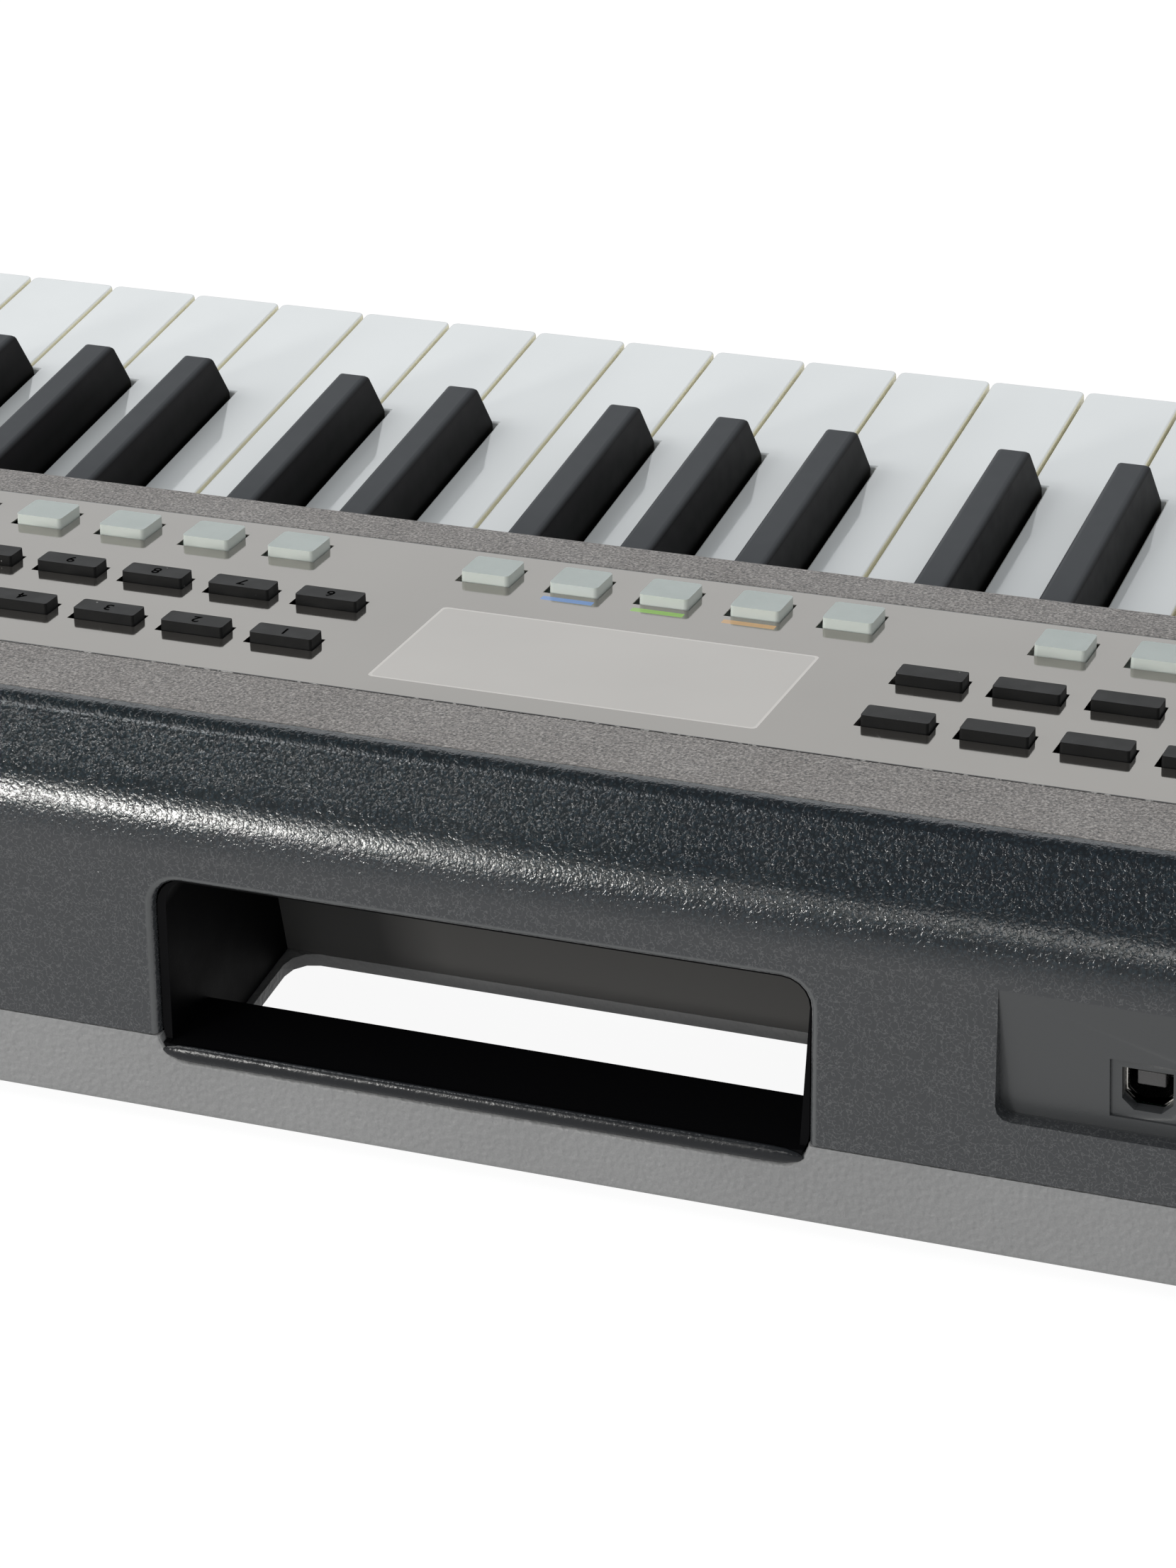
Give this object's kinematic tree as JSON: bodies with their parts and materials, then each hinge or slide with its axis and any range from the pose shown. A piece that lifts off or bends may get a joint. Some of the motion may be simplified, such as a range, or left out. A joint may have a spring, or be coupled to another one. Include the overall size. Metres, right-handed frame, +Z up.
{
  "type": "portable_keyboard",
  "caption": "Portable keyboard with piano-size keys, button panel, display window, rear carrying handle and rear sockets",
  "frame": {"origin": "under the middle of the case, on the plane that its feet stand on", "axes": "+X runs from the bass end to the treble end, +Y from the player to the rear, +Z up"},
  "size_m": [0.945, 0.2996, 0.0858],
  "materials": {
    "black_case": "pebble grained, satin",
    "grey_case": "fine texture",
    "taupe_panel": "fine texture",
    "panel_film": "glossy overlay",
    "display_glass": "clear window over a pale display",
    "gloss_black": "glossy",
    "white_key": "glossy",
    "black_key": "satin",
    "pale_button": "translucent",
    "rubber": "matte",
    "steel": "plated sheet",
    "board": "circuit board",
    "frame_plastic": "moulded",
    "felt": "felt"
  },
  "bodies": {
    "case": {"upper_case": "black_case", "lower_case": "grey_case", "control_panel": "taupe_panel", "panel_film": "panel_film", "display_module": "display_glass", "handle_insert": "gloss_black", "usb_socket": "steel", "pedal_jack": "gloss_black", "phones_jack": "gloss_black", "dc_socket": "gloss_black", "bass_speaker": "frame_plastic", "treble_speaker": "frame_plastic", "main_board": "board", "panel_board": "board", "key_frame": "frame_plastic", "contact_board": "board", "contact_strip": "rubber", "key_felt": "felt", "front_bass_foot": "rubber", "front_treble_foot": "rubber", "rear_bass_foot": "rubber", "rear_treble_foot": "rubber"},
    "bass_button_row": {"bass_button_row": "pale_button"},
    "middle_button_row": {"middle_button_row": "pale_button"},
    "treble_button_row": {"treble_button_row": "pale_button"},
    "number_keypad": {"number_keypad": "rubber"},
    "function_keypad": {"function_keypad": "rubber"},
    "power_button": {"power_button": "pale_button"},
    "battery_cover": {"battery_cover": "grey_case"},
    "white_keys_2": {"white_keys_2": "white_key"},
    "black_keys_2": {"black_keys_2": "black_key"},
    "white_keys_3": {"white_keys_3": "white_key"},
    "black_keys_3": {"black_keys_3": "black_key"},
    "key_c4": {"key_c4": "white_key"},
    "key_cs4": {"key_cs4": "black_key"},
    "key_d4": {"key_d4": "white_key"},
    "key_ds4": {"key_ds4": "black_key"},
    "key_e4": {"key_e4": "white_key"},
    "key_f4": {"key_f4": "white_key"},
    "key_fs4": {"key_fs4": "black_key"},
    "key_g4": {"key_g4": "white_key"},
    "key_gs4": {"key_gs4": "black_key"},
    "key_a4": {"key_a4": "white_key"},
    "key_as4": {"key_as4": "black_key"},
    "key_b4": {"key_b4": "white_key"},
    "key_c5": {"key_c5": "white_key"},
    "key_cs5": {"key_cs5": "black_key"},
    "key_d5": {"key_d5": "white_key"},
    "key_ds5": {"key_ds5": "black_key"},
    "key_e5": {"key_e5": "white_key"},
    "key_f5": {"key_f5": "white_key"},
    "key_fs5": {"key_fs5": "black_key"},
    "key_g5": {"key_g5": "white_key"},
    "key_gs5": {"key_gs5": "black_key"},
    "key_a5": {"key_a5": "white_key"},
    "key_as5": {"key_as5": "black_key"},
    "key_b5": {"key_b5": "white_key"},
    "white_keys_6": {"white_keys_6": "white_key"},
    "black_keys_6": {"black_keys_6": "black_key"},
    "key_c7": {"key_c7": "white_key"}
  },
  "joints": [
    {"name": "bass_button_row_press", "type": "slide", "parent": "case", "child": "bass_button_row", "axis": [0, 0.1392, -0.9903], "range_m": [0, 0.001], "stiffness_N_per_m": 900, "springref_m": -0.001},
    {"name": "middle_button_row_press", "type": "slide", "parent": "case", "child": "middle_button_row", "axis": [0, 0.1392, -0.9903], "range_m": [0, 0.001], "stiffness_N_per_m": 900, "springref_m": -0.001},
    {"name": "treble_button_row_press", "type": "slide", "parent": "case", "child": "treble_button_row", "axis": [0, 0.1392, -0.9903], "range_m": [0, 0.001], "stiffness_N_per_m": 900, "springref_m": -0.001},
    {"name": "number_keypad_press", "type": "slide", "parent": "case", "child": "number_keypad", "axis": [0, 0.1392, -0.9903], "range_m": [0, 0.001], "stiffness_N_per_m": 900, "springref_m": -0.001},
    {"name": "function_keypad_press", "type": "slide", "parent": "case", "child": "function_keypad", "axis": [0, 0.1392, -0.9903], "range_m": [0, 0.001], "stiffness_N_per_m": 900, "springref_m": -0.001},
    {"name": "power_button_press", "type": "slide", "parent": "case", "child": "power_button", "axis": [0, 0.1392, -0.9903], "range_m": [0, 0.0015], "stiffness_N_per_m": 900, "springref_m": -0.001},
    {"name": "battery_cover_hinge", "type": "hinge", "parent": "case", "child": "battery_cover", "pos_m": [0.1825, 0.11586, 0.004], "axis": [1, 0, 0], "range_deg": [0, 75]},
    {"name": "white_keys_2_press", "type": "hinge", "parent": "case", "child": "white_keys_2", "pos_m": [-0.34075, 0.04366, 0.04], "axis": [1, 0, 0], "range_deg": [0, 3.4], "stiffness_Nm_per_rad": 6.3, "springref_deg": -5.73},
    {"name": "black_keys_2_press", "type": "hinge", "parent": "case", "child": "black_keys_2", "pos_m": [-0.34075, 0.04366, 0.04], "axis": [1, 0, 0], "range_deg": [0, 3.4], "stiffness_Nm_per_rad": 4.5, "springref_deg": -5.73},
    {"name": "white_keys_3_press", "type": "hinge", "parent": "case", "child": "white_keys_3", "pos_m": [-0.17625, 0.04366, 0.04], "axis": [1, 0, 0], "range_deg": [0, 3.4], "stiffness_Nm_per_rad": 6.3, "springref_deg": -5.73},
    {"name": "black_keys_3_press", "type": "hinge", "parent": "case", "child": "black_keys_3", "pos_m": [-0.17625, 0.04366, 0.04], "axis": [1, 0, 0], "range_deg": [0, 3.4], "stiffness_Nm_per_rad": 4.5, "springref_deg": -5.73},
    {"name": "key_c4_press", "type": "hinge", "parent": "case", "child": "key_c4", "pos_m": [-0.08225, 0.04366, 0.04], "axis": [1, 0, 0], "range_deg": [0, 3.4], "stiffness_Nm_per_rad": 0.9, "springref_deg": -5.73},
    {"name": "key_cs4_press", "type": "hinge", "parent": "case", "child": "key_cs4", "pos_m": [-0.07285, 0.04366, 0.04], "axis": [1, 0, 0], "range_deg": [0, 3.4], "stiffness_Nm_per_rad": 0.9, "springref_deg": -5.73},
    {"name": "key_d4_press", "type": "hinge", "parent": "case", "child": "key_d4", "pos_m": [-0.05875, 0.04366, 0.04], "axis": [1, 0, 0], "range_deg": [0, 3.4], "stiffness_Nm_per_rad": 0.9, "springref_deg": -5.73},
    {"name": "key_ds4_press", "type": "hinge", "parent": "case", "child": "key_ds4", "pos_m": [-0.04465, 0.04366, 0.04], "axis": [1, 0, 0], "range_deg": [0, 3.4], "stiffness_Nm_per_rad": 0.9, "springref_deg": -5.73},
    {"name": "key_e4_press", "type": "hinge", "parent": "case", "child": "key_e4", "pos_m": [-0.03525, 0.04366, 0.04], "axis": [1, 0, 0], "range_deg": [0, 3.4], "stiffness_Nm_per_rad": 0.9, "springref_deg": -5.73},
    {"name": "key_f4_press", "type": "hinge", "parent": "case", "child": "key_f4", "pos_m": [-0.01175, 0.04366, 0.04], "axis": [1, 0, 0], "range_deg": [0, 3.4], "stiffness_Nm_per_rad": 0.9, "springref_deg": -5.73},
    {"name": "key_fs4_press", "type": "hinge", "parent": "case", "child": "key_fs4", "pos_m": [-0.00336, 0.04366, 0.04], "axis": [1, 0, 0], "range_deg": [0, 3.4], "stiffness_Nm_per_rad": 0.9, "springref_deg": -5.73},
    {"name": "key_g4_press", "type": "hinge", "parent": "case", "child": "key_g4", "pos_m": [0.01175, 0.04366, 0.04], "axis": [1, 0, 0], "range_deg": [0, 3.4], "stiffness_Nm_per_rad": 0.9, "springref_deg": -5.73},
    {"name": "key_gs4_press", "type": "hinge", "parent": "case", "child": "key_gs4", "pos_m": [0.0235, 0.04366, 0.04], "axis": [1, 0, 0], "range_deg": [0, 3.4], "stiffness_Nm_per_rad": 0.9, "springref_deg": -5.73},
    {"name": "key_a4_press", "type": "hinge", "parent": "case", "child": "key_a4", "pos_m": [0.03525, 0.04366, 0.04], "axis": [1, 0, 0], "range_deg": [0, 3.4], "stiffness_Nm_per_rad": 0.9, "springref_deg": -5.73},
    {"name": "key_as4_press", "type": "hinge", "parent": "case", "child": "key_as4", "pos_m": [0.05036, 0.04366, 0.04], "axis": [1, 0, 0], "range_deg": [0, 3.4], "stiffness_Nm_per_rad": 0.9, "springref_deg": -5.73},
    {"name": "key_b4_press", "type": "hinge", "parent": "case", "child": "key_b4", "pos_m": [0.05875, 0.04366, 0.04], "axis": [1, 0, 0], "range_deg": [0, 3.4], "stiffness_Nm_per_rad": 0.9, "springref_deg": -5.73},
    {"name": "key_c5_press", "type": "hinge", "parent": "case", "child": "key_c5", "pos_m": [0.08225, 0.04366, 0.04], "axis": [1, 0, 0], "range_deg": [0, 3.4], "stiffness_Nm_per_rad": 0.9, "springref_deg": -5.73},
    {"name": "key_cs5_press", "type": "hinge", "parent": "case", "child": "key_cs5", "pos_m": [0.09165, 0.04366, 0.04], "axis": [1, 0, 0], "range_deg": [0, 3.4], "stiffness_Nm_per_rad": 0.9, "springref_deg": -5.73},
    {"name": "key_d5_press", "type": "hinge", "parent": "case", "child": "key_d5", "pos_m": [0.10575, 0.04366, 0.04], "axis": [1, 0, 0], "range_deg": [0, 3.4], "stiffness_Nm_per_rad": 0.9, "springref_deg": -5.73},
    {"name": "key_ds5_press", "type": "hinge", "parent": "case", "child": "key_ds5", "pos_m": [0.11985, 0.04366, 0.04], "axis": [1, 0, 0], "range_deg": [0, 3.4], "stiffness_Nm_per_rad": 0.9, "springref_deg": -5.73},
    {"name": "key_e5_press", "type": "hinge", "parent": "case", "child": "key_e5", "pos_m": [0.12925, 0.04366, 0.04], "axis": [1, 0, 0], "range_deg": [0, 3.4], "stiffness_Nm_per_rad": 0.9, "springref_deg": -5.73},
    {"name": "key_f5_press", "type": "hinge", "parent": "case", "child": "key_f5", "pos_m": [0.15275, 0.04366, 0.04], "axis": [1, 0, 0], "range_deg": [0, 3.4], "stiffness_Nm_per_rad": 0.9, "springref_deg": -5.73},
    {"name": "key_fs5_press", "type": "hinge", "parent": "case", "child": "key_fs5", "pos_m": [0.16114, 0.04366, 0.04], "axis": [1, 0, 0], "range_deg": [0, 3.4], "stiffness_Nm_per_rad": 0.9, "springref_deg": -5.73},
    {"name": "key_g5_press", "type": "hinge", "parent": "case", "child": "key_g5", "pos_m": [0.17625, 0.04366, 0.04], "axis": [1, 0, 0], "range_deg": [0, 3.4], "stiffness_Nm_per_rad": 0.9, "springref_deg": -5.73},
    {"name": "key_gs5_press", "type": "hinge", "parent": "case", "child": "key_gs5", "pos_m": [0.188, 0.04366, 0.04], "axis": [1, 0, 0], "range_deg": [0, 3.4], "stiffness_Nm_per_rad": 0.9, "springref_deg": -5.73},
    {"name": "key_a5_press", "type": "hinge", "parent": "case", "child": "key_a5", "pos_m": [0.19975, 0.04366, 0.04], "axis": [1, 0, 0], "range_deg": [0, 3.4], "stiffness_Nm_per_rad": 0.9, "springref_deg": -5.73},
    {"name": "key_as5_press", "type": "hinge", "parent": "case", "child": "key_as5", "pos_m": [0.21486, 0.04366, 0.04], "axis": [1, 0, 0], "range_deg": [0, 3.4], "stiffness_Nm_per_rad": 0.9, "springref_deg": -5.73},
    {"name": "key_b5_press", "type": "hinge", "parent": "case", "child": "key_b5", "pos_m": [0.22325, 0.04366, 0.04], "axis": [1, 0, 0], "range_deg": [0, 3.4], "stiffness_Nm_per_rad": 0.9, "springref_deg": -5.73},
    {"name": "white_keys_6_press", "type": "hinge", "parent": "case", "child": "white_keys_6", "pos_m": [0.31725, 0.04366, 0.04], "axis": [1, 0, 0], "range_deg": [0, 3.4], "stiffness_Nm_per_rad": 6.3, "springref_deg": -5.73},
    {"name": "black_keys_6_press", "type": "hinge", "parent": "case", "child": "black_keys_6", "pos_m": [0.31725, 0.04366, 0.04], "axis": [1, 0, 0], "range_deg": [0, 3.4], "stiffness_Nm_per_rad": 4.5, "springref_deg": -5.73},
    {"name": "key_c7_press", "type": "hinge", "parent": "case", "child": "key_c7", "pos_m": [0.41125, 0.04366, 0.04], "axis": [1, 0, 0], "range_deg": [0, 3.4], "stiffness_Nm_per_rad": 0.9, "springref_deg": -5.73}
  ]
}
